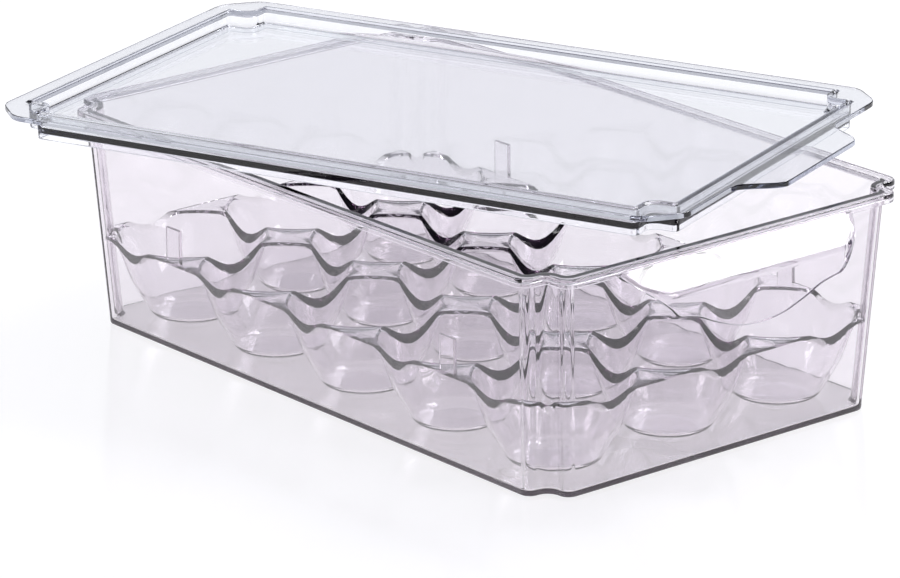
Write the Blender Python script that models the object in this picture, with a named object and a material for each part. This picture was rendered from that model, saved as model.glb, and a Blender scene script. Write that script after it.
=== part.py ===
"""A clear egg box: a fluted bin with a moulded pull, a fifteen-cup tray that drops in, and a lift-off lid.

Metres, +Z up. The origin is the middle of the bin's underside. +X runs along the length, towards the end
with the pull, and the long side with -Y faces the viewer. The lid lies askew on the rim, as it is left
when the box is opened.
"""
import math

import bmesh
import bpy
from mathutils import Vector

# Bin, whose walls lean in from the mouth to the base
BIN_HEIGHT = 0.073
MOUTH_LENGTH = 0.240
MOUTH_WIDTH = 0.147
END_DRAFT = 0.0023
SIDE_DRAFT = 0.0024
BASE_LENGTH = MOUTH_LENGTH - 2 * END_DRAFT
BASE_WIDTH = MOUTH_WIDTH - 2 * SIDE_DRAFT
WALL = 0.0017
FLOOR = 0.0015
BASE_EDGE = 0.0008
FLOOR_FILLET = 0.0015
FLUTE_DEPTH = 0.0080
FLUTE_LOBE = 0.0020
FLUTE_ROOT = 0.0035

# Rim round the mouth
RIM_OUTSET = 0.0050
RIM_LENGTH = MOUTH_LENGTH + 2 * RIM_OUTSET
RIM_WIDTH = MOUTH_WIDTH + 2 * RIM_OUTSET
RIM_PLATE = 0.0016
RIM_DROP = 0.0030
RIM_LIP = 0.0013
RIM_EDGE = 0.0004
RIM_FLUTE_DEPTH = 0.0093
RIM_FLUTE_ROOT = 0.0012

# Pull on the rim's +X side: a slope out from the rim, then an apron down to a bell-shaped edge
PULL_MARGIN = 0.0305
PULL_HALF = RIM_WIDTH / 2 - PULL_MARGIN
PULL_REACH = 0.0110
PULL_FOOT = 0.0015
PULL_SLOPE_DROP = 0.0070
PULL_APRON_DROP = 0.0221
PULL_WALL = 0.0015
PULL_ROUND = 0.0010
# Share of the half length from the middle, share of the reach, share of the apron's drop below the lip
PULL_SHARES = (
    (0.00, 1.00, 1.00),
    (0.10, 1.00, 0.99),
    (0.21, 1.00, 0.95),
    (0.31, 1.00, 0.88),
    (0.42, 1.00, 0.79),
    (0.52, 1.00, 0.69),
    (0.63, 1.00, 0.63),
    (0.71, 1.00, 0.59),
    (0.77, 0.97, 0.46),
    (0.83, 0.84, 0.34),
    (0.90, 0.61, 0.22),
    (0.96, 0.28, 0.10),
)

# Tray, whose cups share out the bin's floor
CUPS_ALONG = 5
CUPS_ACROSS = 3
CUP_RADIUS = 0.0255
CUP_BASE_RADIUS = 0.0129
CUP_DEPTH = 0.0270
TRAY_EDGE = 0.0241
TRAY_END_GAP = 0.0012
TRAY_SIDE_GAP = 0.0008
PITCH_ALONG = (BASE_LENGTH - 2 * (TRAY_END_GAP + TRAY_EDGE)) / (CUPS_ALONG - 1)
PITCH_ACROSS = (BASE_WIDTH - 2 * (TRAY_SIDE_GAP + TRAY_EDGE)) / (CUPS_ACROSS - 1)
TRAY_WALL = 0.0015
TRAY_FLUTE_DEPTH = 0.0080
TRAY_FLUTE_ROOT = 0.0045
TRAY_FLUTE_LOBE = 0.0008
TAB_OFFSET = 0.0012
TAB_SPREAD = 1.5 * PITCH_ALONG + TAB_OFFSET
TAB_WIDTH = 0.0074
TAB_HEIGHT = 0.0120
TAB_WALL = 0.0013
# How a cup narrows: share of the way out from its flat bottom to its rim, share of its depth
CUP_SHARES = ((0.00, 0.00), (0.29, 0.24), (0.57, 0.49), (0.78, 0.78), (0.91, 0.93), (1.00, 1.00))
# Where the rays from a cup's middle meet the sides of its cell, as shares of the half side
RAY_SHARES = (0.0, 0.268, 0.577)

# Lid
LID_LENGTH = RIM_LENGTH
LID_WIDTH = RIM_WIDTH
LID_PLATE = 0.0018
LID_EDGE = 0.0004
LID_CORNER_CUT = 0.0105
LID_CORNER_ROUND = 0.0040
RIDGE_OUTSET = 0.0062
RIDGE_INSET = 0.0150
RIDGE_HEIGHT = 0.0016
RIDGE_SLOPE = 0.0008
SKIRT_GAP = 0.0008
SKIRT_DEPTH = 0.0070
SKIRT_WALL = 0.0014
SKIRT_DRAFT = 0.0003
GRIP_MARGIN = 0.0400
GRIP_ROOT_HALF = LID_WIDTH / 2 - GRIP_MARGIN
GRIP_REACH = 0.0132
# Grip outline: share of its half length at the root, share of its reach
GRIP_SHARES = (
    (0.00, 1.00),
    (0.30, 1.00),
    (0.60, 0.99),
    (0.68, 0.92),
    (0.75, 0.72),
    (0.83, 0.38),
    (0.90, 0.13),
    (0.97, 0.02),
)

# Where the pieces lie at rest
SEAT_GAP = 0.0003
LID_REST_X = -0.0225
LID_REST_Y = 0.0025
LID_REST_TURN = math.radians(21.4)

ARC_STEPS = 4
QUARTER = math.pi / 2
MERGE_DISTANCE = 0.00001
OVERLAP = 0.0010

CLEAR_PLASTIC = (0.95, 0.96, 0.98, 1.0)
TRAY_PLASTIC = (0.94, 0.93, 0.96, 1.0)
PLASTIC_ROUGHNESS = 0.05
PLASTIC_IOR = 1.57


def clear_scene():
    for old in list(bpy.data.objects):
        bpy.data.objects.remove(old, do_unlink=True)


def new_collection(name):
    collection = bpy.data.collections.new(name)
    bpy.context.scene.collection.children.link(collection)
    return collection


def plastic(name, colour):
    material = bpy.data.materials.new(name)
    material.use_nodes = True
    shader = material.node_tree.nodes["Principled BSDF"]
    shader.inputs["Base Color"].default_value = colour
    shader.inputs["Roughness"].default_value = PLASTIC_ROUGHNESS
    shader.inputs["Metallic"].default_value = 0.0
    shader.inputs["Transmission Weight"].default_value = 1.0
    shader.inputs["IOR"].default_value = PLASTIC_IOR
    return material


def arc(centre, radius, start, end):
    """Points of an arc from start to end, both angles in radians."""
    points = []
    for step in range(ARC_STEPS + 1):
        angle = start + (end - start) * step / ARC_STEPS
        points.append((centre[0] + radius * math.cos(angle), centre[1] + radius * math.sin(angle)))
    return points


def fluted_corner(depth, lobe, root):
    """A corner scooped square, with rounded lobes and a rounded root, as distances in from the corner."""
    points = arc((depth + lobe, lobe), lobe, -QUARTER, -2 * QUARTER)
    points += arc((depth - root, depth - root), root, 0.0, QUARTER)
    points += arc((lobe, depth + lobe), lobe, -QUARTER, -2 * QUARTER)
    return points


def cut_corner(cut, rounding):
    """A corner cut off at 45 degrees, rounded at both ends, with as many points as a fluted one."""
    tangent = rounding * math.tan(QUARTER / 4)
    first = arc((cut + tangent, rounding), rounding, -QUARTER, -1.5 * QUARTER)
    last = [(v, u) for u, v in reversed(first)]
    middle = []
    for step in range(ARC_STEPS + 1):
        share = (step + 1) / (ARC_STEPS + 2)
        middle.append(tuple(a + (b - a) * share for a, b in zip(first[-1], last[0])))
    return first + middle + last


def ring(half_length, half_width, height, corner, side=()):
    """A closed loop round the object, anticlockwise, with the given corner and the +X side's own points."""
    loop = []
    for sign_x, sign_y in ((1, 1), (-1, 1), (-1, -1), (1, -1)):
        run = corner if sign_x * sign_y < 0 else list(reversed(corner))
        for u, v in run:
            loop.append(Vector((sign_x * (half_length - u), sign_y * (half_width - v), height)))
    for out, along, down in side:
        loop.append(Vector((half_length + out, along, height - down)))
    return loop


def mirrored_side(half):
    """The +X side's points from -Y to +Y, from those of its half, given from the middle outwards."""
    negative = [(out, -along, down) for out, along, down in reversed(half[1:])]
    return negative + list(half)


def skin(name, rings, material, collection):
    """A solid whose surface runs through the rings in turn, closed by a face on the first and the last."""
    mesh = bpy.data.meshes.new(name)
    model = bmesh.new()
    rows = [[model.verts.new(point) for point in loop] for loop in rings]
    for low, high in zip(rows, rows[1:]):
        count = len(low)
        for index in range(count):
            after = (index + 1) % count
            model.faces.new((low[index], low[after], high[after], high[index]))
    model.faces.new(reversed(rows[0]))
    model.faces.new(rows[-1])
    return finish_mesh(name, mesh, model, material, collection)


def finish_mesh(name, mesh, model, material, collection):
    bmesh.ops.remove_doubles(model, verts=model.verts, dist=MERGE_DISTANCE)
    bmesh.ops.dissolve_degenerate(model, edges=model.edges, dist=MERGE_DISTANCE)
    bmesh.ops.recalc_face_normals(model, faces=model.faces)
    model.to_mesh(mesh)
    model.free()
    mesh.materials.append(material)
    mesh.shade_smooth()
    mesh.set_sharp_from_angle(angle=QUARTER / 3)
    obj = bpy.data.objects.new(name, mesh)
    collection.objects.link(obj)
    return obj


def pull_side(half_length, reach, drop, apron=False):
    """The +X side's points for one line of the pull, which leaves the rim by reach and drops by drop."""
    half = []
    for along, out_share, apron_share in PULL_SHARES:
        fall = apron_share if apron else out_share
        half.append((reach * out_share, half_length * along, drop * fall))
    half.append((0.0, half_length, 0.0))
    return mirrored_side(half)


def bin_rings():
    """The bin's surface from the middle of its underside, up outside, over the rim and down inside."""
    plain = pull_side(PULL_HALF, 0.0, 0.0)
    plain_inside = pull_side(PULL_HALF - PULL_WALL, 0.0, 0.0)
    outside = fluted_corner(FLUTE_DEPTH, FLUTE_LOBE, FLUTE_ROOT)
    inside = fluted_corner(FLUTE_DEPTH, FLUTE_LOBE - WALL, FLUTE_ROOT + WALL)
    rim_lobe = FLUTE_LOBE + RIM_OUTSET - WALL
    rim_outside = fluted_corner(RIM_FLUTE_DEPTH, rim_lobe, RIM_FLUTE_ROOT)
    rim_inside = fluted_corner(RIM_FLUTE_DEPTH, rim_lobe - RIM_LIP, RIM_FLUTE_ROOT + RIM_LIP)
    length, width = BASE_LENGTH / 2, BASE_WIDTH / 2
    mouth, across = MOUTH_LENGTH / 2, MOUTH_WIDTH / 2
    rim, rim_across = RIM_LENGTH / 2, RIM_WIDTH / 2
    lip_in, lip_across = rim - RIM_LIP, rim_across - RIM_LIP

    top = BIN_HEIGHT
    under = top - RIM_PLATE
    lip = top - RIM_DROP
    foot = top - PULL_FOOT
    # The slope's underside is a wall below its top, measured square to it
    slant = math.hypot(PULL_REACH, PULL_SLOPE_DROP) / PULL_REACH
    foot_inside = foot + RIM_LIP * PULL_SLOPE_DROP / PULL_REACH - PULL_WALL * slant
    knee = foot - PULL_SLOPE_DROP
    reach_inside = PULL_REACH + RIM_LIP - PULL_WALL
    knee_inside = foot_inside - reach_inside * PULL_SLOPE_DROP / PULL_REACH
    step = (foot_inside - lip) / 2
    rise = (foot - lip) / 3
    round_share = (PULL_REACH - PULL_ROUND) / PULL_REACH

    def line_inside(height, low, apron=False):
        side = pull_side(PULL_HALF - PULL_WALL, reach_inside, height - low, apron)
        return ring(lip_in, lip_across, height, rim_inside, side)

    def line_outside(height, reach, low, apron=False):
        return ring(rim, rim_across, height, rim_outside, pull_side(PULL_HALF, reach, height - low, apron))

    return [
        ring(length - BASE_EDGE, width - BASE_EDGE, 0.0, outside, plain_inside),
        ring(length, width, BASE_EDGE, outside, plain_inside),
        ring(mouth + WALL, across + WALL, under, outside, plain_inside),
        ring(lip_in, lip_across, under, rim_inside, plain_inside),
        ring(lip_in, lip_across, foot_inside, rim_inside, plain_inside),
        line_inside(lip + step, knee_inside),
        line_inside(lip, lip - PULL_APRON_DROP, True),
        line_outside(lip, PULL_REACH, lip - PULL_APRON_DROP, True),
        line_outside(lip + rise, PULL_REACH, knee - PULL_ROUND),
        line_outside(lip + 2 * rise, PULL_REACH - PULL_ROUND, foot - PULL_SLOPE_DROP * round_share),
        ring(rim, rim_across, foot, rim_outside, plain),
        ring(rim, rim_across, top - RIM_EDGE, rim_outside, plain),
        ring(rim - RIM_EDGE, rim_across - RIM_EDGE, top, rim_outside, plain),
        ring(mouth + RIM_EDGE, across + RIM_EDGE, top, inside, plain),
        ring(mouth, across, top - RIM_EDGE, inside, plain),
        ring(length - WALL, width - WALL, FLOOR + FLOOR_FILLET, inside, plain),
        ring(length - WALL - FLOOR_FILLET, width - WALL - FLOOR_FILLET, FLOOR, inside, plain),
    ]


def cup_profile():
    """Radius and height of a cup's inner surface, from the edge of its flat bottom to its rim."""
    bottom = FLOOR + SEAT_GAP + TRAY_WALL
    spread = CUP_RADIUS - CUP_BASE_RADIUS
    return [(CUP_BASE_RADIUS + spread * out, bottom + CUP_DEPTH * up) for out, up in CUP_SHARES]


def offset_profile(profile, distance):
    """The profile moved outwards by a wall, with the flat bottom and the flat deck carried on."""
    first, last = profile[0], profile[-1]
    line = [(0.0, first[1])] + list(profile) + [(2 * last[0], last[1])]
    moved = []
    for before, here, after in zip(line, line[1:], line[2:]):
        normals = []
        for start, end in ((before, here), (here, after)):
            run, rise = end[0] - start[0], end[1] - start[1]
            size = math.hypot(run, rise)
            normals.append((rise / size, -run / size))
        middle = (normals[0][0] + normals[1][0], normals[0][1] + normals[1][1])
        scale = 2 * distance / (middle[0] ** 2 + middle[1] ** 2)
        moved.append((here[0] + middle[0] * scale, here[1] + middle[1] * scale))
    return moved


def height_at(profile, radius):
    """The height of a profile at a radius, flat inside its first point and outside its last."""
    if radius <= profile[0][0]:
        return profile[0][1]
    for (inner, low), (outer, high) in zip(profile, profile[1:]):
        if radius <= outer:
            return low + (high - low) * (radius - inner) / (outer - inner)
    return profile[-1][1]


def cell_quadrant(half_x, half_y, notched):
    """Where the rays of a quarter of a cup's cell end, from the +X side round to the +Y side."""
    if notched:
        corner = fluted_corner(TRAY_FLUTE_DEPTH, TRAY_FLUTE_LOBE, TRAY_FLUTE_ROOT)
        turn = [(half_x - u, half_y - v) for u, v in reversed(corner)]
    else:
        turn = [(half_x, half_y)]
    limit = TRAY_FLUTE_DEPTH + TRAY_FLUTE_LOBE if notched else 0.0
    side = [(half_x, half_y * share) for share in RAY_SHARES if half_y * share < half_y - limit]
    top = [(half_x * share, half_y) for share in reversed(RAY_SHARES) if half_x * share < half_x - limit]
    return side + turn + top


def cell_ends(column, row):
    """Where the rays of one cup's cell end, anticlockwise, each once."""
    east = TRAY_EDGE if column == CUPS_ALONG - 1 else PITCH_ALONG / 2
    west = TRAY_EDGE if column == 0 else PITCH_ALONG / 2
    north = TRAY_EDGE if row == CUPS_ACROSS - 1 else PITCH_ACROSS / 2
    south = TRAY_EDGE if row == 0 else PITCH_ACROSS / 2
    ends = []
    for sign_x, sign_y in ((1, 1), (-1, 1), (-1, -1), (1, -1)):
        half_x = east if sign_x > 0 else west
        half_y = north if sign_y > 0 else south
        at_corner = half_x == TRAY_EDGE and half_y == TRAY_EDGE
        run = [(sign_x * x, sign_y * y) for x, y in cell_quadrant(half_x, half_y, at_corner)]
        if sign_x * sign_y < 0:
            run.reverse()
        ends += run[:-1]
    return ends


def add_cell(model, middle, ends, profile, facing_up):
    """One cup's cell of the tray's upper or lower surface. It returns the points on the cell's boundary."""
    centre = model.verts.new((middle[0], middle[1], profile[0][1]))
    rows = []
    for radius, _ in profile:
        row = []
        for x, y in ends:
            reach = math.hypot(x, y)
            share = min(radius / reach, 1.0)
            height = height_at(profile, reach * share)
            row.append(model.verts.new((middle[0] + x * share, middle[1] + y * share, height)))
        rows.append(row)
    border = []
    for x, y in ends:
        height = height_at(profile, math.hypot(x, y))
        border.append(model.verts.new((middle[0] + x, middle[1] + y, height)))
    rows.append(border)
    count = len(ends)
    for index in range(count):
        after = (index + 1) % count
        fan = (centre, rows[0][index], rows[0][after])
        model.faces.new(fan if facing_up else tuple(reversed(fan)))
        for low, high in zip(rows, rows[1:]):
            quad = (low[index], high[index], high[after], low[after])
            model.faces.new(quad if facing_up else tuple(reversed(quad)))
    return border


def on_tray_edge(x, y):
    """True on the tray's outer boundary, its scooped corners included."""
    half_x = PITCH_ALONG * (CUPS_ALONG - 1) / 2 + TRAY_EDGE
    half_y = PITCH_ACROSS * (CUPS_ACROSS - 1) / 2 + TRAY_EDGE
    u = half_x - abs(x)
    v = half_y - abs(y)
    in_corner = max(u, v) < TRAY_FLUTE_DEPTH + TRAY_FLUTE_LOBE + MERGE_DISTANCE
    return min(u, v) < MERGE_DISTANCE or in_corner


def tray_solid(material, collection):
    model = bmesh.new()
    upper = cup_profile()
    lower = offset_profile(upper, TRAY_WALL)
    for column in range(CUPS_ALONG):
        for row in range(CUPS_ACROSS):
            middle_x = PITCH_ALONG * (column - (CUPS_ALONG - 1) / 2)
            middle_y = PITCH_ACROSS * (row - (CUPS_ACROSS - 1) / 2)
            ends = cell_ends(column, row)
            top = add_cell(model, (middle_x, middle_y), ends, upper, True)
            bottom = add_cell(model, (middle_x, middle_y), ends, lower, False)
            count = len(ends)
            for index in range(count):
                after = (index + 1) % count
                pair = (top[index], top[after])
                half = (pair[0].co + pair[1].co) / 2
                outer = all(on_tray_edge(v.co.x, v.co.y) for v in pair) and on_tray_edge(half.x, half.y)
                if outer:
                    model.faces.new((top[index], bottom[index], bottom[after], top[after]))
    return finish_mesh("egg_tray", bpy.data.meshes.new("egg_tray"), model, material, collection)


def tab_solid(name, x, y, foot, cutters):
    """An upright finger tab whose foot is sunk in the deck."""
    bpy.ops.mesh.primitive_cube_add(size=1.0)
    tab = bpy.context.active_object
    tab.name = name
    height = TAB_HEIGHT + OVERLAP
    for corner in tab.data.vertices:
        corner.co.x *= TAB_WIDTH
        corner.co.y *= TAB_WALL
        corner.co.z *= height
    tab.location = (x, y, foot - OVERLAP + height / 2)
    for old in list(tab.users_collection):
        old.objects.unlink(tab)
    cutters.objects.link(tab)
    tab.hide_render = True
    tab.display_type = "WIRE"
    return tab


def add_tabs(tray, cutters):
    """Four finger tabs, two on each long edge, over the webs between the end cups and their neighbours."""
    deck = cup_profile()[-1][1]
    across = PITCH_ACROSS * (CUPS_ACROSS - 1) / 2 + TRAY_EDGE - TAB_WALL / 2 - MERGE_DISTANCE
    for sign_x in (-1, 1):
        for sign_y in (-1, 1):
            name = f"tab_{'left' if sign_x < 0 else 'right'}_{'front' if sign_y < 0 else 'back'}"
            tab = tab_solid(name, sign_x * TAB_SPREAD, sign_y * across, deck, cutters)
            join = tray.modifiers.new(name, "BOOLEAN")
            join.operation = "UNION"
            join.object = tab
            join.solver = "EXACT"


def grip_side(reach):
    """The +X side's points for the lid's pull tab, or for a straight side where the reach is zero."""
    half = [(reach * out_share, GRIP_ROOT_HALF * along, 0.0) for along, out_share in GRIP_SHARES]
    half.append((0.0, GRIP_ROOT_HALF, 0.0))
    return mirrored_side(half)


def lid_rings():
    """The surface of the lid from its top, over ridge and flange, down the skirt, to its underside."""
    plain = grip_side(0.0)
    grip = grip_side(GRIP_REACH)
    half, across = LID_LENGTH / 2, LID_WIDTH / 2
    skirt_half = MOUTH_LENGTH / 2 - SKIRT_GAP
    skirt_across = MOUTH_WIDTH / 2 - SKIRT_GAP
    flange = cut_corner(LID_CORNER_CUT, LID_CORNER_ROUND)
    ridge = cut_corner(LID_CORNER_CUT, LID_CORNER_ROUND)
    skirt = fluted_corner(FLUTE_DEPTH, SKIRT_WALL + SKIRT_GAP, FLUTE_ROOT)
    hollow = fluted_corner(FLUTE_DEPTH, SKIRT_GAP, FLUTE_ROOT + SKIRT_WALL)
    under = -LID_PLATE
    foot = under - SKIRT_DEPTH
    roof = RIDGE_HEIGHT - LID_PLATE

    def inset(distance, height, corner):
        return ring(half - distance, across - distance, height, corner, plain)

    return [
        inset(RIDGE_INSET, 0.0, ridge),
        inset(RIDGE_INSET - RIDGE_SLOPE, RIDGE_HEIGHT, ridge),
        inset(RIDGE_OUTSET + RIDGE_SLOPE, RIDGE_HEIGHT, ridge),
        inset(RIDGE_OUTSET, 0.0, ridge),
        ring(half - LID_EDGE, across - LID_EDGE, 0.0, flange, grip),
        ring(half, across, -LID_EDGE, flange, grip),
        ring(half, across, under, flange, grip),
        ring(skirt_half, skirt_across, under, skirt, plain),
        ring(skirt_half - SKIRT_DRAFT, skirt_across - SKIRT_DRAFT, foot, skirt, plain),
        ring(skirt_half - SKIRT_WALL, skirt_across - SKIRT_WALL, foot, hollow, plain),
        ring(skirt_half - SKIRT_WALL, skirt_across - SKIRT_WALL, roof, hollow, plain),
        inset(RIDGE_INSET - RIDGE_SLOPE, roof, ridge),
        inset(RIDGE_INSET, under, ridge),
    ]


def build():
    clear_scene()
    parts = new_collection("egg_box_parts")
    cutters = new_collection("cutters")
    cutters.hide_render = True
    clear = plastic("clear_plastic", CLEAR_PLASTIC)
    tray_clear = plastic("tray_plastic", TRAY_PLASTIC)

    frame = bpy.data.objects.new("egg_box", None)
    parts.objects.link(frame)

    bin_body = skin("bin", bin_rings(), clear, parts)
    bin_body.parent = frame

    tray = tray_solid(tray_clear, parts)
    tray.parent = frame
    add_tabs(tray, cutters)

    lid = skin("lid", lid_rings(), clear, parts)
    lid.parent = frame
    lid.location = (LID_REST_X, LID_REST_Y, BIN_HEIGHT + SEAT_GAP + SKIRT_DEPTH + LID_PLATE)
    lid.rotation_euler = (0.0, 0.0, LID_REST_TURN)


build()
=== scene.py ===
"""Looks of the clear egg box: fine moulded surfaces, clear plastic, a pale floor and soft studio light.

Metres, in the same frame as the solids. Each of the three mouldings is made again here from the same
sizes with finer curves and rounded edges, and stands for its solid. The lid's panel is sunk between the
skirt's walls, where its solid has a level panel with a raised ridge.
"""
import math

import bmesh
import bpy
import numpy as np
from mathutils import Matrix, Vector


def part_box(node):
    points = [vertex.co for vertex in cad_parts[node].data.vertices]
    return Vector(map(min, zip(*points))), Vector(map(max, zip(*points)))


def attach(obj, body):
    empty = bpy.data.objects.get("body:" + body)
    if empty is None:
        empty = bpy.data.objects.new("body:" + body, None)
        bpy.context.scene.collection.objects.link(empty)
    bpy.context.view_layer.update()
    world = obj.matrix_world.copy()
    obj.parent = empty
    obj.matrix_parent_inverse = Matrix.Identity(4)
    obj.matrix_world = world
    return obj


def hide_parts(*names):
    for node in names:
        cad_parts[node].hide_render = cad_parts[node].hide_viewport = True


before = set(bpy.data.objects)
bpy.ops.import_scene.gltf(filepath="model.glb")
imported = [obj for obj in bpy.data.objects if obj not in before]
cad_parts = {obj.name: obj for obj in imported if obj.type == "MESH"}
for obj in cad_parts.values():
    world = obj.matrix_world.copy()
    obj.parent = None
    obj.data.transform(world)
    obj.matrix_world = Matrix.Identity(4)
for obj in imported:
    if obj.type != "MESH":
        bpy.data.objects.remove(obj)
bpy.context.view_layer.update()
BIN_LOW, BIN_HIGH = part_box("bin")

# Bin, from its solid's box and the sizes it was drawn with
RIM_HALF = -BIN_LOW.x
RIM_ACROSS = BIN_HIGH.y
RIM_TOP = BIN_HIGH.z
BASE_HALF = 0.1177
BASE_ACROSS = 0.0711
MOUTH_HALF = 0.120
MOUTH_ACROSS = 0.0735
WALL = 0.0017
FLOOR = 0.0015
FLUTE_SPREAD = 0.0084
FLUTE_LOBE = 0.0036
FLUTE_SCOOP = 0.0046
RIM_PLATE = 0.0016
RIM_DROP = 0.0030
RIM_LIP = 0.0013
RIM_LOBE = 0.0053
RIM_FLUTE_DEPTH = 0.0093
RIM_FLUTE_ROOT = 0.0012
BASE_ROUND = 0.0010
FLOOR_ROUND = 0.0014
EDGE_ROUND = 0.0004
RIM_ROUND = 0.0009
FROST_ANGLE = math.radians(25)

# Pull
PULL_HALF = 0.048
PULL_REACH = BIN_HIGH.x - RIM_HALF
PULL_FOOT = 0.0015
PULL_SLOPE_DROP = 0.0070
PULL_APRON_DROP = 0.0221
PULL_WALL = 0.0015
PULL_ROUND = 0.0012
# Share of the half length from the middle, share of the reach, share of the apron's drop below the lip
PULL_SHARES = (
    (0.00, 1.00, 1.00),
    (0.10, 1.00, 0.99),
    (0.21, 1.00, 0.95),
    (0.31, 1.00, 0.88),
    (0.42, 1.00, 0.79),
    (0.52, 1.00, 0.69),
    (0.63, 1.00, 0.63),
    (0.71, 1.00, 0.59),
    (0.77, 0.97, 0.46),
    (0.83, 0.84, 0.34),
    (0.90, 0.61, 0.22),
    (0.96, 0.28, 0.10),
    (1.00, 0.00, 0.00),
)
PULL_STEPS = 4

# Tray
CUPS_ALONG = 5
CUPS_ACROSS = 3
CUP_PITCH = 0.0462
CUP_RADIUS = 0.0255
CUP_BASE_RADIUS = 0.0129
CUP_DEPTH = 0.0270
CUP_SHARES = ((0.00, 0.00), (0.29, 0.24), (0.57, 0.49), (0.78, 0.78), (0.91, 0.93), (1.00, 1.00))
CUP_STEPS = 3
CUP_ROUND = 0.0030
CUP_LIP_ROUND = 0.0012
TRAY_EDGE = 0.0241
TRAY_WALL = 0.0015
# The skin that shows, thinner than the solid's wall, with its upper face where the solid has it
TRAY_SKIN = 0.0011
TRAY_FLUTE_DEPTH = 0.0080
TRAY_FLUTE_ROOT = 0.0045
TRAY_FLUTE_LOBE = 0.0008
SEAT_GAP = 0.0003
TAB_SPREAD = 0.0705
TAB_WIDTH = 0.0074
TAB_HEIGHT = 0.0120
TAB_WALL = 0.0013
TAB_ROUND = 0.0003
TAB_ROUND_STEPS = 3
ROUND_PROFILE_SHARE = 0.5
TAB_SINK = 0.0007
RAYS_ON_RIM = 4
RAYS_ON_DECK = 4

# Lid
LID_HALF = 0.125
LID_ACROSS = 0.0785
LID_PLATE = 0.0018
LID_CORNER_CUT = 0.0105
LID_CORNER_ROUND = 0.0085
SKIRT_FLUTE_DEPTH = 0.0092
SKIRT_FLUTE_ROOT = 0.0035
RECESS_DEPTH = 0.0050
RECESS_FILLET = 0.0015
PANEL_INSET = 0.0045
RIDGE_WIDTH = 0.0010
RIDGE_HEIGHT = 0.0006
RIDGE_SLOPE = 0.0006
SKIRT_GAP = 0.0008
SKIRT_DEPTH = 0.0070
SKIRT_WALL = 0.0014
SKIRT_DRAFT = 0.0003
GRIP_ROOT_HALF = 0.0385
GRIP_REACH = 0.0132
GRIP_SHARES = (
    (0.00, 1.00),
    (0.30, 1.00),
    (0.58, 1.00),
    (0.67, 0.94),
    (0.75, 0.72),
    (0.83, 0.38),
    (0.91, 0.11),
    (1.00, 0.00),
)
GRIP_STEPS = 4
LID_REST = Vector((-0.0225, 0.0025, RIM_TOP + SEAT_GAP + SKIRT_DEPTH + LID_PLATE))
LID_REST_TURN = math.radians(21.4)

ARC_STEPS = 8
ROUND_STEPS = 4
ROUND_REACH_SHARE = 0.45
QUARTER = math.pi / 2
SHARP_ANGLE = math.radians(32)
MERGE_DISTANCE = 0.000002

# Plastic
PLASTIC_IOR = 1.57
FLOW_SCALE = 9.0
FLOW_DETAIL = 2.0
FLOW_BUMP = 0.05
FLOW_BUMP_HEIGHT = 0.001
HAZE_SCALE = 30.0
HAZE_SPREAD = 3.0
TINT_SPREAD = 0.02
CLEAR_HAZE = 0.004
TRAY_HAZE = 0.006
LID_HAZE = 0.006
FROST_HAZE = 0.12
CLEAR_SHADE = (0.965, 0.955, 0.970)
FROST_SHADE = (0.945, 0.915, 0.945)
LID_SHADE = (0.960, 0.970, 0.985)
TINT_DENSITY = 26.0
VIOLET_TINT = (0.34, 0.10, 0.32, 1.0)
BLUE_TINT = (0.25, 0.30, 0.48, 1.0)

# Light
FLOOR_COLOUR = (0.30, 0.30, 0.31, 1.0)
FLOOR_GLOW_COLOUR = (0.955, 0.955, 0.965, 1.0)
FLOOR_GLOW = 0.82
FLOOR_ROUGHNESS = 0.12
FLOOR_SPECULAR = 0.30
FLOOR_REACH = 4.0
FLOOR_GAP = 0.0002
GLOW_DIRECTION = (-0.73, 0.60, 0.32)
GLOW_STOPS = (
    (0.00, (0.10, 0.08, 0.13)),
    (0.45, (0.20, 0.18, 0.25)),
    (0.80, (0.52, 0.53, 0.58)),
    (1.00, (0.64, 0.65, 0.69)),
)
SOFTBOX_DISTANCE = 1.4
# Name, direction from the box, size, brightness
SOFTBOXES = (
    ("back_softbox", (-0.02, 0.60, 0.80), (0.8, 0.5), 7.0),
    ("left_softbox", (-0.55, -0.75, 0.55), (0.9, 0.25), 5.0),
    ("right_softbox", (0.95, 0.35, 0.55), (0.7, 0.25), 5.0),
)

# Camera, as solved from the photograph's straight edges
CAMERA_SPOT = Vector((1.27178, -1.05484, 0.58001))
CAMERA_YAW = 0.8839
CAMERA_PITCH = 0.32463
CAMERA_ROLL = -0.00688
CAMERA_LENS = 213.62
CAMERA_SENSOR = 36.0
CAMERA_NEAR = 0.1

# Light paths through the stacked walls
LIGHT_BOUNCES = 22
MIRROR_BOUNCES = 12


def arc(centre, radius, start, end):
    angles = np.linspace(start, end, ARC_STEPS + 1)
    return np.column_stack((centre[0] + radius * np.cos(angles), centre[1] + radius * np.sin(angles)))


def fluted_corner(depth, lobe, root):
    """A corner scooped square, with rounded lobes and a rounded root, as distances in from the corner."""
    first = arc((depth + lobe, lobe), lobe, -QUARTER, -2 * QUARTER)
    scoop = arc((depth - root, depth - root), root, 0.0, QUARTER)
    return np.vstack((first, scoop, first[::-1, ::-1]))


def waved_corner(spread, lobe, scoop):
    """A corner of two round lobes with a round scoop between them, as distances in from the corner."""
    reach = lobe + scoop
    # The scoop's middle lies on the corner's diagonal, a lobe and a scoop away from each lobe's middle
    across = spread / math.sqrt(2)
    middle = (spread / 2 + lobe) - math.sqrt(reach**2 - across**2) / math.sqrt(2)
    turn = math.atan2(middle - lobe, middle - spread - lobe)
    first = arc((spread + lobe, lobe), lobe, -QUARTER, turn - 2 * math.pi if turn > 0 else turn)
    back = turn - math.pi
    dip = arc((middle, middle), scoop, back, QUARTER - back)
    return np.vstack((first, dip, first[::-1, ::-1]))


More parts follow.
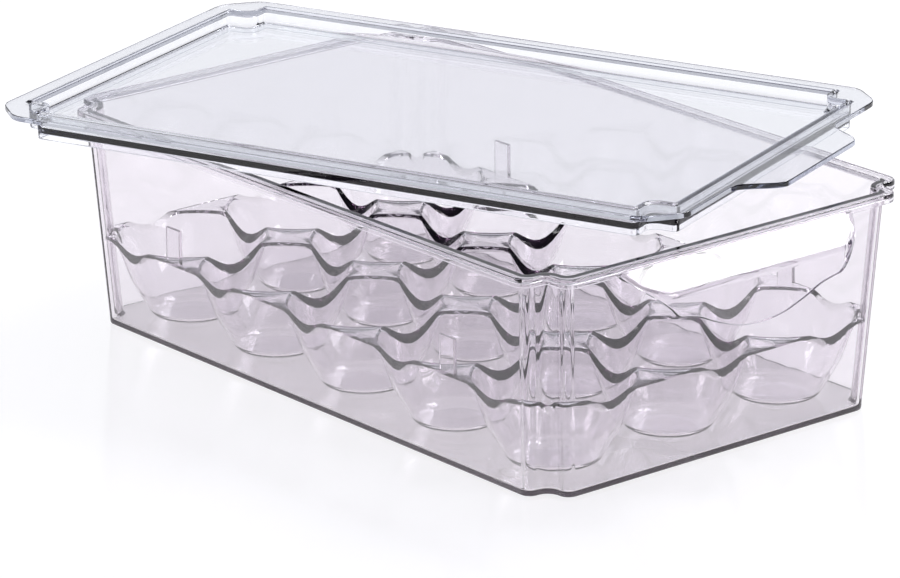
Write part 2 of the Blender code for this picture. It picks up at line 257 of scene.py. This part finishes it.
def cut_corner(cut, rounding):
    """A corner cut off at 45 degrees, rounded at both ends, with as many points as a fluted one."""
    tangent = rounding * math.tan(QUARTER / 4)
    first = arc((cut + tangent, rounding), rounding, -QUARTER, -1.5 * QUARTER)
    last = first[::-1, ::-1]
    shares = np.linspace(0.0, 1.0, ARC_STEPS + 3)[1:-1, None]
    return np.vstack((first, first[-1] + (last[0] - first[-1]) * shares, last))


def ring(half, across, height, corner, side):
    """A closed loop round the object, anticlockwise, with the given corner and the +X side's own points."""
    runs = []
    for sign_x, sign_y in ((1, 1), (-1, 1), (-1, -1), (1, -1)):
        run = corner if sign_x * sign_y < 0 else corner[::-1]
        x = sign_x * (half - run[:, 0])
        y = sign_y * (across - run[:, 1])
        runs.append(np.column_stack((x, y, np.full(len(run), height))))
    runs.append(np.column_stack((half + side[:, 0], side[:, 1], height - side[:, 2])))
    return np.vstack(runs)


def smooth_through(points, steps):
    """Points on a smooth curve through the given ones."""
    points = np.array(points, float)
    padded = np.vstack((2 * points[0] - points[1], points, 2 * points[-1] - points[-2]))
    shares = np.linspace(0.0, 1.0, steps + 1)[:-1, None]
    found = []
    for before, start, end, after in zip(padded, padded[1:], padded[2:], padded[3:]):
        cubic = 3 * (start - end) + after - before
        square = 2 * before - 5 * start + 4 * end - after
        found.append(start + 0.5 * shares * (end - before + shares * (square + shares * cubic)))
    found.append(points[-1:])
    return np.vstack(found)


def mirrored_side(half):
    """The +X side's points from -Y to +Y, from those of its half, given from the middle outwards."""
    return np.vstack(((half * (1, -1, 1))[:0:-1], half))


PULL_CURVE = smooth_through(PULL_SHARES, PULL_STEPS).clip(0.0, 1.0)
GRIP_CURVE = smooth_through(GRIP_SHARES, GRIP_STEPS).clip(0.0, 1.0)


def pull_side(half_length, reach, drop, apron=False):
    """The +X side's points for one line of the pull, which leaves the rim by reach and drops by drop."""
    along, out_share, apron_share = PULL_CURVE.T
    fall = apron_share if apron else out_share
    return mirrored_side(np.column_stack((reach * out_share, half_length * along, drop * fall)))


def grip_side(reach):
    along, out_share = GRIP_CURVE.T
    return mirrored_side(np.column_stack((reach * out_share, GRIP_ROOT_HALF * along, 0.0 * along)))


def softened(lines):
    """The loops of (loop, radius) pairs, with each loop that has a radius replaced by a rounded edge."""
    loops = []
    for index, (loop, radius) in enumerate(lines):
        if not radius:
            loops.append(loop)
            continue
        before = lines[index - 1][0] - loop
        after = lines[index + 1][0] - loop
        sizes = [np.linalg.norm(side, axis=1, keepdims=True) for side in (before, after)]
        reach = np.minimum(radius, ROUND_REACH_SHARE * np.minimum(*sizes))
        start = loop + before / np.maximum(sizes[0], MERGE_DISTANCE) * reach
        end = loop + after / np.maximum(sizes[1], MERGE_DISTANCE) * reach
        for share in np.linspace(0.0, 1.0, ROUND_STEPS + 1):
            loops.append(start * (1 - share) ** 2 + loop * 2 * share * (1 - share) + end * share**2)
    return loops


def grid_faces(rows, columns):
    """Quads between neighbouring rows of a grid whose rows are closed loops."""
    start = np.arange(rows - 1)[:, None] * columns
    here = np.arange(columns)
    after = (here + 1) % columns
    quads = np.stack((start + here, start + after, start + columns + after, start + columns + here), axis=-1)
    return quads.reshape(-1, 4).tolist()


def solid_from(name, points, faces):
    """A smooth-shaded solid with no doubled points and its faces pointing out."""
    model = bmesh.new()
    draft = bpy.data.meshes.new(name + "_draft")
    draft.from_pydata(points.tolist(), [], faces)
    model.from_mesh(draft)
    bpy.data.meshes.remove(draft)
    bmesh.ops.remove_doubles(model, verts=model.verts, dist=MERGE_DISTANCE)
    bmesh.ops.dissolve_degenerate(model, edges=model.edges, dist=MERGE_DISTANCE)
    bmesh.ops.recalc_face_normals(model, faces=model.faces)
    mesh = bpy.data.meshes.new(name)
    model.to_mesh(mesh)
    model.free()
    mesh.shade_smooth()
    obj = bpy.data.objects.new(name, mesh)
    bpy.context.scene.collection.objects.link(obj)
    return obj


def dress(obj, material, body, node):
    """Sets a piece's edges, material and body, and hides the solid that it stands for."""
    obj.data.set_sharp_from_angle(angle=SHARP_ANGLE)
    weighted = obj.modifiers.new("normals", "WEIGHTED_NORMAL")
    weighted.keep_sharp = True
    obj.data.materials.clear()
    obj.data.materials.append(material)
    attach(obj, body)
    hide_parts(node)


def skin(name, lines):
    """A solid through the lines in turn, closed by a face on the first and the last."""
    loops = softened(lines)
    columns = len(loops[0])
    faces = grid_faces(len(loops), columns)
    last = (len(loops) - 1) * columns
    faces.append(list(range(columns))[::-1])
    faces.append([last + index for index in range(columns)])
    return solid_from(name, np.vstack(loops), faces)


def bin_lines():
    """The bin's section lines from its underside, up outside, over the rim and down inside."""
    plain = pull_side(PULL_HALF, 0.0, 0.0)
    plain_inside = pull_side(PULL_HALF - PULL_WALL, 0.0, 0.0)
    outside = waved_corner(FLUTE_SPREAD, FLUTE_LOBE, FLUTE_SCOOP)
    inside = waved_corner(FLUTE_SPREAD, FLUTE_LOBE - WALL, FLUTE_SCOOP + WALL)
    rim_outside = fluted_corner(RIM_FLUTE_DEPTH, RIM_LOBE, RIM_FLUTE_ROOT)
    rim_inside = fluted_corner(RIM_FLUTE_DEPTH, RIM_LOBE - RIM_LIP, RIM_FLUTE_ROOT + RIM_LIP)
    lip_in, lip_across = RIM_HALF - RIM_LIP, RIM_ACROSS - RIM_LIP
    under = RIM_TOP - RIM_PLATE
    lip = RIM_TOP - RIM_DROP
    foot = RIM_TOP - PULL_FOOT
    slant = math.hypot(PULL_REACH, PULL_SLOPE_DROP) / PULL_REACH
    foot_inside = foot + RIM_LIP * PULL_SLOPE_DROP / PULL_REACH - PULL_WALL * slant
    knee = foot - PULL_SLOPE_DROP
    reach_inside = PULL_REACH + RIM_LIP - PULL_WALL
    knee_inside = foot_inside - reach_inside * PULL_SLOPE_DROP / PULL_REACH
    middle_inside = (foot_inside + lip) / 2
    middle = (foot + lip) / 2

    def inner_line(height, low, apron=False):
        side = pull_side(PULL_HALF - PULL_WALL, reach_inside, height - low, apron)
        return ring(lip_in, lip_across, height, rim_inside, side)

    def outer_line(height, low, apron=False):
        side = pull_side(PULL_HALF, PULL_REACH, height - low, apron)
        return ring(RIM_HALF, RIM_ACROSS, height, rim_outside, side)

    return [
        (ring(BASE_HALF - BASE_ROUND, BASE_ACROSS - BASE_ROUND, 0.0, outside, plain_inside), 0.0),
        (ring(BASE_HALF, BASE_ACROSS, 0.0, outside, plain_inside), BASE_ROUND),
        (ring(MOUTH_HALF + WALL, MOUTH_ACROSS + WALL, under, outside, plain_inside), EDGE_ROUND),
        (ring(lip_in, lip_across, under, rim_inside, plain_inside), EDGE_ROUND),
        (ring(lip_in, lip_across, foot_inside, rim_inside, plain_inside), 0.0),
        (inner_line(middle_inside, knee_inside), PULL_ROUND),
        (inner_line(lip, lip - PULL_APRON_DROP, True), EDGE_ROUND),
        (outer_line(lip, lip - PULL_APRON_DROP, True), EDGE_ROUND),
        (outer_line(middle, knee), PULL_ROUND),
        (ring(RIM_HALF, RIM_ACROSS, foot, rim_outside, plain), EDGE_ROUND),
        (ring(RIM_HALF, RIM_ACROSS, RIM_TOP, rim_outside, plain), RIM_ROUND),
        (ring(MOUTH_HALF, MOUTH_ACROSS, RIM_TOP, inside, plain), RIM_ROUND),
        (ring(BASE_HALF - WALL, BASE_ACROSS - WALL, FLOOR, inside, plain), FLOOR_ROUND),
        (ring(BASE_HALF - WALL - FLOOR_ROUND, BASE_ACROSS - WALL - FLOOR_ROUND, FLOOR, inside, plain), 0.0),
    ]


def cup_profile():
    """Radius and height of a cup's inner surface, from the middle of its bottom out onto the deck."""
    bottom = FLOOR + SEAT_GAP + TRAY_WALL
    deck = bottom + CUP_DEPTH
    spread = CUP_RADIUS - CUP_BASE_RADIUS
    points = [(CUP_BASE_RADIUS + spread * out, bottom + CUP_DEPTH * up) for out, up in CUP_SHARES]
    wall = smooth_through(points, CUP_STEPS)
    line = [((0.0, bottom), 0.0), (wall[0], CUP_ROUND)]
    line += [(point, 0.0) for point in wall[CUP_STEPS + 1:-1]]
    line += [(wall[-1], CUP_LIP_ROUND), ((2 * CUP_RADIUS, deck), 0.0)]
    pairs = [(np.array([point]), radius) for point, radius in line]
    return np.vstack(softened(pairs))


def offset_profile(profile, distance):
    """The profile moved outwards by a wall."""
    steps = np.diff(profile, axis=0)
    normals = np.column_stack((steps[:, 1], -steps[:, 0]))
    normals /= np.linalg.norm(normals, axis=1, keepdims=True)
    joined = np.vstack((normals[:1], normals[:-1] + normals[1:], normals[-1:]))
    joined[1:-1] *= 2 / (joined[1:-1] ** 2).sum(axis=1, keepdims=True)
    moved = profile + joined * distance
    return moved[np.argsort(moved[:, 0])]


def side_shares(half, other, edge_radius):
    """Places along a cell's side where its rays end, with one where the cup's rim crosses it."""
    crossing = math.sqrt(max(edge_radius**2 - half**2, 0.0))
    on_rim = np.linspace(0.0, crossing, RAYS_ON_RIM + 1)
    on_deck = np.linspace(crossing, other, RAYS_ON_DECK + 1)[1:]
    return np.concatenate((on_rim, on_deck))


def cell_quadrant(half_x, half_y, notched):
    """Where the rays of a quarter of a cup's cell end, from the +X side round to the +Y side."""
    side = np.array([(half_x, y) for y in side_shares(half_x, half_y, CUP_RADIUS)])
    top = np.array([(x, half_y) for x in side_shares(half_y, half_x, CUP_RADIUS)])[::-1]
    if not notched:
        return np.vstack((side, top[1:]))
    limit = TRAY_FLUTE_DEPTH + TRAY_FLUTE_LOBE
    corner = fluted_corner(TRAY_FLUTE_DEPTH, TRAY_FLUTE_LOBE, TRAY_FLUTE_ROOT)[::-1]
    turn = np.array((half_x, half_y)) - corner
    side = side[side[:, 1] < half_y - limit - MERGE_DISTANCE]
    top = top[top[:, 0] < half_x - limit - MERGE_DISTANCE]
    return np.vstack((side, turn, top))


def cell_ends(column, row):
    """Where the rays of one cup's cell end, anticlockwise, each once."""
    inner = CUP_PITCH / 2
    east = TRAY_EDGE if column == CUPS_ALONG - 1 else inner
    west = TRAY_EDGE if column == 0 else inner
    north = TRAY_EDGE if row == CUPS_ACROSS - 1 else inner
    south = TRAY_EDGE if row == 0 else inner
    runs = []
    for sign_x, sign_y in ((1, 1), (-1, 1), (-1, -1), (1, -1)):
        half_x = east if sign_x > 0 else west
        half_y = north if sign_y > 0 else south
        at_corner = half_x == TRAY_EDGE and half_y == TRAY_EDGE
        run = cell_quadrant(half_x, half_y, at_corner) * (sign_x, sign_y)
        runs.append(run[:-1] if sign_x * sign_y > 0 else run[:0:-1])
    return np.vstack(runs)


def on_tray_edge(points):
    """True for points on the tray's outer boundary, its scooped corners included."""
    half_x = CUP_PITCH * (CUPS_ALONG - 1) / 2 + TRAY_EDGE
    half_y = CUP_PITCH * (CUPS_ACROSS - 1) / 2 + TRAY_EDGE
    u = half_x - np.abs(points[:, 0])
    v = half_y - np.abs(points[:, 1])
    in_corner = np.maximum(u, v) < TRAY_FLUTE_DEPTH + TRAY_FLUTE_LOBE + MERGE_DISTANCE
    return (np.minimum(u, v) < MERGE_DISTANCE) | in_corner


def tray_mesh():
    """The tray's cups and deck: for each cup a fan of rays over its cell, above and below."""
    upper = cup_profile()
    lower = offset_profile(upper, TRAY_SKIN)
    radii = upper[(upper[:, 0] > 0.0) & (upper[:, 0] < 2 * CUP_RADIUS)][:, 0]
    points, faces, count = [], [], 0
    for column in range(CUPS_ALONG):
        for row in range(CUPS_ACROSS):
            middle = CUP_PITCH * np.array((column - (CUPS_ALONG - 1) / 2, row - (CUPS_ACROSS - 1) / 2))
            ends = cell_ends(column, row)
            reach = np.linalg.norm(ends, axis=1)
            shares = np.minimum(np.append(radii, 1.0)[:, None] / reach, 1.0)
            flat = ends[None] * shares[..., None]
            distance = reach[None] * shares
            rim_start = len(radii) * len(ends)
            for profile, upwards in ((upper, True), (lower, False)):
                height = np.interp(distance, profile[:, 0], profile[:, 1])
                grid = np.dstack((flat + middle, height)).reshape(-1, 3)
                quads = np.array(grid_faces(len(radii) + 1, len(ends))) + count
                faces += (quads if upwards else quads[:, ::-1]).tolist()
                hub = count + len(grid)
                fan = [(hub, count + index, count + (index + 1) % len(ends)) for index in range(len(ends))]
                faces += fan if upwards else [face[::-1] for face in fan]
                points += [grid, np.array([(*middle, np.interp(0.0, profile[:, 0], profile[:, 1]))])]
                count = hub + 1
            bottom = count - 1 - len(grid)
            top = bottom - 1 - len(grid)
            world = ends + middle
            after = np.roll(world, -1, axis=0)
            outer = on_tray_edge(world) & on_tray_edge(after) & on_tray_edge((world + after) / 2)
            for index in np.flatnonzero(outer):
                following = (index + 1) % len(ends)
                faces.append([
                    top + rim_start + index,
                    bottom + rim_start + index,
                    bottom + rim_start + following,
                    top + rim_start + following,
                ])
    return solid_from("egg_tray_fine", np.vstack(points), faces)


def rounded_block(name, size, centre, rounding):
    """A box with rounded edges, as a mesh."""
    model = bmesh.new()
    bmesh.ops.create_cube(model, size=1.0)
    bmesh.ops.scale(model, vec=size, verts=model.verts)
    edges = {"geom": model.edges[:], "affect": "EDGES"}
    bmesh.ops.bevel(model, **edges, offset=rounding, segments=TAB_ROUND_STEPS, profile=ROUND_PROFILE_SHARE)
    bmesh.ops.translate(model, vec=centre, verts=model.verts)
    mesh = bpy.data.meshes.new(name)
    model.to_mesh(mesh)
    model.free()
    mesh.shade_smooth()
    return mesh


def add_tabs(tray):
    """Joins the four upright tabs to the tray's long edges."""
    deck = FLOOR + SEAT_GAP + TRAY_WALL + CUP_DEPTH
    across = CUP_PITCH * (CUPS_ACROSS - 1) / 2 + TRAY_EDGE - TAB_WALL / 2 - MERGE_DISTANCE
    size = (TAB_WIDTH, TAB_WALL, TAB_HEIGHT + TAB_SINK)
    for sign_x in (-1, 1):
        for sign_y in (-1, 1):
            centre = (sign_x * TAB_SPREAD, sign_y * across, deck + (TAB_HEIGHT - TAB_SINK) / 2)
            mesh = rounded_block("tab", size, centre, TAB_ROUND)
            tab = bpy.data.objects.new("tab", mesh)
            bpy.context.scene.collection.objects.link(tab)
            join = tray.modifiers.new("tab", "BOOLEAN")
            join.operation = "UNION"
            join.object = tab
            join.solver = "EXACT"
            graph = bpy.context.evaluated_depsgraph_get()
            joined = bpy.data.meshes.new_from_object(tray.evaluated_get(graph))
            tray.modifiers.remove(join)
            tray.data = joined
            bpy.data.objects.remove(tab)


def lid_lines():
    """The lid's section lines from its sunk panel, over ridge and flange, down the skirt and back."""
    plain = grip_side(0.0)
    grip = grip_side(GRIP_REACH)
    skirt_half = MOUTH_HALF - SKIRT_GAP
    skirt_across = MOUTH_ACROSS - SKIRT_GAP
    flange = cut_corner(LID_CORNER_CUT, LID_CORNER_ROUND)
    skirt = fluted_corner(SKIRT_FLUTE_DEPTH, SKIRT_WALL + SKIRT_GAP, SKIRT_FLUTE_ROOT)
    hollow = fluted_corner(SKIRT_FLUTE_DEPTH, SKIRT_GAP, SKIRT_FLUTE_ROOT + SKIRT_WALL)
    foot = -LID_PLATE - SKIRT_DEPTH
    panel = -RECESS_DEPTH

    def inner(distance, height):
        """A line along the skirt's inner face, moved outwards by a distance."""
        reach = distance - SKIRT_WALL
        return ring(skirt_half + reach, skirt_across + reach, height, hollow, plain)

    return [
        (inner(-PANEL_INSET, panel), 0.0),
        (inner(0.0, panel), RECESS_FILLET),
        (inner(0.0, RIDGE_HEIGHT), EDGE_ROUND),
        (inner(RIDGE_WIDTH, RIDGE_HEIGHT), EDGE_ROUND),
        (inner(RIDGE_WIDTH + RIDGE_SLOPE, 0.0), EDGE_ROUND),
        (ring(LID_HALF, LID_ACROSS, 0.0, flange, grip), EDGE_ROUND),
        (ring(LID_HALF, LID_ACROSS, -LID_PLATE, flange, grip), EDGE_ROUND),
        (ring(skirt_half, skirt_across, -LID_PLATE, skirt, plain), EDGE_ROUND),
        (ring(skirt_half - SKIRT_DRAFT, skirt_across - SKIRT_DRAFT, foot, skirt, plain), EDGE_ROUND),
        (inner(0.0, foot), EDGE_ROUND),
        (inner(0.0, panel - LID_PLATE), EDGE_ROUND),
        (inner(-PANEL_INSET, panel - LID_PLATE), 0.0),
    ]


def clear_plastic(name, tint, haze, absorption):
    """Clear moulded plastic: faint flow waves, a breath of haze, and a tint that gathers in thick edges."""
    material = bpy.data.materials.new(name)
    material.use_nodes = True
    nodes = material.node_tree.nodes
    links = material.node_tree.links
    shader = nodes["Principled BSDF"]
    shader.inputs["Transmission Weight"].default_value = 1.0
    shader.inputs["IOR"].default_value = PLASTIC_IOR
    shader.inputs["Metallic"].default_value = 0.0
    place = nodes.new("ShaderNodeTexCoord")
    waves = nodes.new("ShaderNodeTexNoise")
    waves.inputs["Scale"].default_value = FLOW_SCALE
    waves.inputs["Detail"].default_value = FLOW_DETAIL
    links.new(place.outputs["Object"], waves.inputs["Vector"])
    bump = nodes.new("ShaderNodeBump")
    bump.inputs["Strength"].default_value = FLOW_BUMP
    bump.inputs["Distance"].default_value = FLOW_BUMP_HEIGHT
    links.new(waves.outputs["Fac"], bump.inputs["Height"])
    links.new(bump.outputs["Normal"], shader.inputs["Normal"])
    haze_noise = nodes.new("ShaderNodeTexNoise")
    haze_noise.inputs["Scale"].default_value = HAZE_SCALE
    links.new(place.outputs["Object"], haze_noise.inputs["Vector"])
    rough = nodes.new("ShaderNodeMapRange")
    rough.inputs["To Min"].default_value = haze
    rough.inputs["To Max"].default_value = HAZE_SPREAD * haze
    links.new(haze_noise.outputs["Fac"], rough.inputs["Value"])
    links.new(rough.outputs["Result"], shader.inputs["Roughness"])
    shade = nodes.new("ShaderNodeMix")
    shade.data_type = "RGBA"
    shade.inputs["A"].default_value = (*tint, 1.0)
    shade.inputs["B"].default_value = (*(min(value + TINT_SPREAD, 1.0) for value in tint), 1.0)
    links.new(waves.outputs["Fac"], shade.inputs["Factor"])
    links.new(shade.outputs["Result"], shader.inputs["Base Color"])
    absorb = nodes.new("ShaderNodeVolumeAbsorption")
    absorb.inputs["Color"].default_value = absorption
    absorb.inputs["Density"].default_value = TINT_DENSITY
    links.new(absorb.outputs["Volume"], nodes["Material Output"].inputs["Volume"])
    return material


def floor_material():
    """A white sweep that glows a little, as a lit studio table does, with a faint polish."""
    material = bpy.data.materials.new("studio_floor")
    material.use_nodes = True
    shader = material.node_tree.nodes["Principled BSDF"]
    shader.inputs["Base Color"].default_value = FLOOR_COLOUR
    shader.inputs["Roughness"].default_value = FLOOR_ROUGHNESS
    shader.inputs["Specular IOR Level"].default_value = FLOOR_SPECULAR
    shader.inputs["Emission Color"].default_value = FLOOR_GLOW_COLOUR
    shader.inputs["Emission Strength"].default_value = FLOOR_GLOW
    return material


def add_floor():
    mesh = bpy.data.meshes.new("floor")
    spots = [(-FLOOR_REACH, -FLOOR_REACH), (FLOOR_REACH, -FLOOR_REACH), (FLOOR_REACH, FLOOR_REACH)]
    spots.append((-FLOOR_REACH, FLOOR_REACH))
    mesh.from_pydata([(x, y, -FLOOR_GAP) for x, y in spots], [], [(0, 1, 2, 3)])
    mesh.materials.append(floor_material())
    floor = bpy.data.objects.new("floor", mesh)
    bpy.context.scene.collection.objects.link(floor)


def add_world():
    """A dim studio with a pale glow behind the box, which draws the plastic's edges dark on white."""
    world = bpy.data.worlds.new("studio")
    world.use_nodes = True
    bpy.context.scene.world = world
    nodes = world.node_tree.nodes
    links = world.node_tree.links
    place = nodes.new("ShaderNodeTexCoord")
    split = nodes.new("ShaderNodeVectorMath")
    split.operation = "DOT_PRODUCT"
    split.inputs[1].default_value = GLOW_DIRECTION
    links.new(place.outputs["Generated"], split.inputs[0])
    ramp = nodes.new("ShaderNodeValToRGB")
    stops = ramp.color_ramp.elements
    while len(stops) < len(GLOW_STOPS):
        stops.new(1.0)
    for stop, (position, colour) in zip(stops, GLOW_STOPS):
        stop.position = position
        stop.color = (*colour, 1.0)
    links.new(split.outputs["Value"], ramp.inputs["Fac"])
    background = nodes["Background"]
    links.new(ramp.outputs["Color"], background.inputs["Color"])


def add_softbox(name, direction, size, radiance):
    """A soft light aimed at the box from a direction, whose brightness is given as its surface shows it."""
    light = bpy.data.lights.new(name, "AREA")
    light.shape = "RECTANGLE"
    light.size, light.size_y = size
    light.energy = radiance * math.pi * size[0] * size[1]
    obj = bpy.data.objects.new(name, light)
    obj.location = Vector(direction).normalized() * SOFTBOX_DISTANCE
    obj.rotation_mode = "QUATERNION"
    obj.rotation_quaternion = Vector(direction).to_track_quat("Z", "Y")
    bpy.context.scene.collection.objects.link(obj)


def add_camera():
    yaw, pitch, roll = CAMERA_YAW, CAMERA_PITCH, CAMERA_ROLL
    ahead = Vector((-math.sin(yaw) * math.cos(pitch), math.cos(yaw) * math.cos(pitch), -math.sin(pitch)))
    right = Vector((math.cos(yaw), math.sin(yaw), 0.0))
    up = right.cross(ahead)
    turned_right = right * math.cos(roll) + up * math.sin(roll)
    turned_up = up * math.cos(roll) - right * math.sin(roll)
    axes = Matrix((turned_right, turned_up, -ahead)).transposed()
    lens = bpy.data.cameras.new("camera")
    lens.lens = CAMERA_LENS
    lens.sensor_width = CAMERA_SENSOR
    lens.clip_start = CAMERA_NEAR
    camera = bpy.data.objects.new("camera", lens)
    camera.matrix_world = Matrix.Translation(CAMERA_SPOT) @ axes.to_4x4()
    bpy.context.scene.collection.objects.link(camera)
    bpy.context.scene.camera = camera


def frost_underside(obj, material):
    """Gives the faces that lie on the shelf the finely frosted look of a moulded underside."""
    obj.data.materials.append(material)
    for face in obj.data.polygons:
        if face.center.z < BASE_ROUND and face.normal.z < -math.cos(FROST_ANGLE):
            face.material_index = 1


def build():
    clear = clear_plastic("clear_plastic", CLEAR_SHADE, CLEAR_HAZE, VIOLET_TINT)
    frosted = clear_plastic("frosted_base", FROST_SHADE, FROST_HAZE, VIOLET_TINT)
    tray_clear = clear_plastic("tray_plastic", CLEAR_SHADE, TRAY_HAZE, VIOLET_TINT)
    lid_clear = clear_plastic("lid_plastic", LID_SHADE, LID_HAZE, BLUE_TINT)
    bin_fine = skin("bin_fine", bin_lines())
    dress(bin_fine, clear, "bin", "bin")
    frost_underside(bin_fine, frosted)
    tray = tray_mesh()
    add_tabs(tray)
    dress(tray, tray_clear, "egg_tray", "egg_tray")
    lid = skin("lid_fine", lid_lines())
    lid.data.transform(Matrix.Translation(LID_REST) @ Matrix.Rotation(LID_REST_TURN, 4, "Z"))
    dress(lid, lid_clear, "lid", "lid")


build()
add_floor()
add_world()
for softbox in SOFTBOXES:
    add_softbox(*softbox)
add_camera()
bpy.context.scene.view_settings.view_transform = "Standard"
bpy.context.scene.cycles.max_bounces = LIGHT_BOUNCES
bpy.context.scene.cycles.transmission_bounces = LIGHT_BOUNCES
bpy.context.scene.cycles.glossy_bounces = MIRROR_BOUNCES
